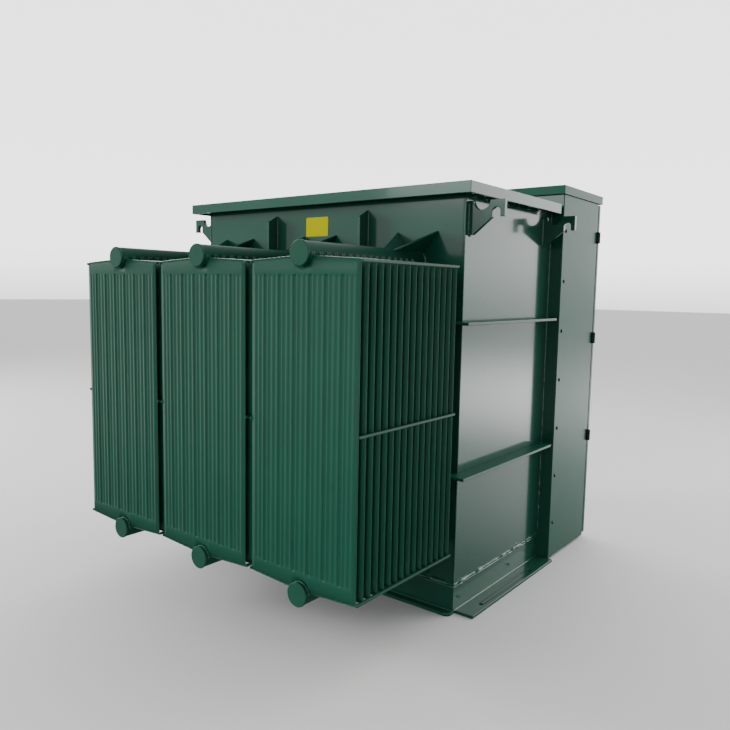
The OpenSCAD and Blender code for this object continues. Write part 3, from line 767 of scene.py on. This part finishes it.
# %% Floor
bm = bmesh.new()
bmesh.ops.create_grid(bm, x_segments=1, y_segments=1, size=60.0)
floor_mesh = bpy.data.meshes.new("studio_floor")
bm.to_mesh(floor_mesh)
bm.free()
studio_floor = bpy.data.objects.new("studio_floor", floor_mesh)
bpy.context.scene.collection.objects.link(studio_floor)
floor_mesh.materials.append(plain_finish("pale_studio_floor", "#efefee", "#f4f4f3", grain_mm=900, roughness=0.8,
                                           relief_mm=0.1))
studio_floor.visible_diffuse = False
studio_floor.visible_glossy = False
print("floor is", round(studio_floor.dimensions.x), "m wide")

# %% [markdown]
# Six soft panels light the object. The one at the far left rakes across the pressed sheets, so that
# every flute has a lit and a shaded flank. A weak one near the front lifts the shaded flanks; it is
# kept off the tank, as a photographer does with a black card, so that the front plate behind stays
# dark. Fill, overhead and open side even out the rest. Gloss paint would show these panels as white
# squares, so it mirrors only the high window, which gives the right end of the cover its sheen.


# %% Lamps
def soft_panel(name, place, target, size, watts, mirrored=False):
    """An area light at place that looks at target; mirrored says if gloss paint shows it."""
    lamp = bpy.data.lights.new(name, "AREA")
    lamp.shape = "RECTANGLE"
    lamp.size, lamp.size_y = size
    lamp.energy = watts
    holder = bpy.data.objects.new(name, lamp)
    aim = (Vector(target) - Vector(place)).to_track_quat("-Z", "Y").to_matrix().to_4x4()
    holder.matrix_world = Matrix.Translation(place) @ aim
    holder.visible_glossy = mirrored
    holder.visible_camera = False
    bpy.context.scene.collection.objects.link(holder)
    print(name, watts, "W,", size[0], "by", size[1], "m")
    return holder


soft_panel("far_left", (9.0, 4.3, 2.8), (0, 1.0, 1.0), size=(2.6, 2.6), watts=950)
near_front = soft_panel("near_front", (-1.6, 3.5, 0.7), (-0.6, 1.0, 0.7), size=(1.8, 1.2), watts=50)
lit_by_near_front = bpy.data.collections.new("lit_by_near_front")
for bank in BANKS:
    for kind in ("pressed_panels", "header_pipes", "tie_bars"):
        lit_by_near_front.objects.link(bpy.data.objects[f"{bank}_{kind}"])
for name in ("tank_cover", "yellow_rear_plate"):
    lit_by_near_front.objects.link(bpy.data.objects[name])
near_front.light_linking.receiver_collection = lit_by_near_front
soft_panel("fill", (-3.6, 4.4, 2.4), (-0.6, 0.6, 1.0), size=(3.0, 2.4), watts=8)
soft_panel("overhead", (-1.0, -2.0, 6.5), (-0.5, -1.5, 0), size=(6.0, 6.0), watts=140)
soft_panel("open_side", (-4.4, -4.6, 1.9), (-0.8, -0.2, 1.2), size=(3.4, 3.7), watts=85)
soft_panel("high_window", (2.04, 5.4, 3.3), (-0.4, -0.1, 1.85), size=(2.0, 1.6), watts=30, mirrored=True)

# %% [markdown]
# The surround is white behind the transformer and dim behind the photographer, as in a hall with one
# open side. That is what makes the two faces so unlike: the radiators look at the dim side and stay
# deep green, while the tank's side mirrors the white one. It is one strength for each direction. Its
# height profile runs from the ground at the feet over a sunlit strip of floor, the shaded foot of the
# far wall and the wall up to the roof, and the tank's side mirrors it from top to bottom. The compass
# direction then scales it: strong towards the open side, weak towards the dim one. One soft glow
# stands behind the photographer's left shoulder, where the edges of cover and hood pick it up.

# %% Surround
OPEN_LEVEL = 4.6
DIM_LEVEL = 1.0
OPEN_TO = Vector((0.5, -0.866, 0.0))
# Sine of the elevation, and the share of the full level found there.
PROFILE = ((-1.0, 0.05), (-0.40, 0.05), (-0.23, 0.26), (-0.14, 1.0), (-0.06, 0.32), (0.06, 0.66), (0.35, 0.60),
           (0.85, 0.22))
GLOW = 0.35
GLOW_FROM = Vector((0.29, 0.894, 0.342))

world = bpy.data.worlds.new("studio_surround")
world.use_nodes = True
sky = world.node_tree
sky.nodes.clear()
way = add(sky, "TexCoord").outputs["Generated"]
rise = add(sky, "SeparateXYZ", [("Vector", way)])
share = add(sky, "MapRange", [("Value", rise.outputs["Z"])], From_Min=-1.0, From_Max=1.0, To_Min=0.0, To_Max=1.0)
bands = add(sky, "ValToRGB", [("Fac", share.outputs["Result"])])
ramp = bands.color_ramp
ramp.interpolation = "EASE"
for k, (sine, part) in enumerate(PROFILE):
    stop = ramp.elements[k] if k < 2 else ramp.elements.new(0.5 + sine / 2)
    stop.position = 0.5 + sine / 2
    stop.color = (part, part, part, 1.0)


def toward(direction, low, high, weakest, strongest):
    """Strength that rises as the view turns towards a direction."""
    facing = add(sky, "VectorMath", [(0, way)], operation="DOT_PRODUCT")
    facing.inputs[1].default_value = direction
    return add(sky, "MapRange", [("Value", facing.outputs["Value"])], interpolation_type="SMOOTHSTEP",
               From_Min=low, From_Max=high, To_Min=weakest, To_Max=strongest).outputs["Result"]


level = toward(OPEN_TO, low=0.0, high=0.45, weakest=DIM_LEVEL, strongest=OPEN_LEVEL)
banded = add(sky, "Math", [(0, level), (1, bands.outputs["Color"])], operation="MULTIPLY")
glow = toward(GLOW_FROM, low=0.80, high=1.0, weakest=0.0, strongest=GLOW)
total = add(sky, "Math", [(0, banded.outputs["Value"]), (1, glow)], operation="ADD")
surround = add(sky, "Background", [("Strength", total.outputs["Value"])], Color=linear("#ffffff"))
add(sky, "OutputWorld", [("Surface", surround.outputs["Background"])])
bpy.context.scene.world = world
print("surround runs from", DIM_LEVEL, "to", OPEN_LEVEL)
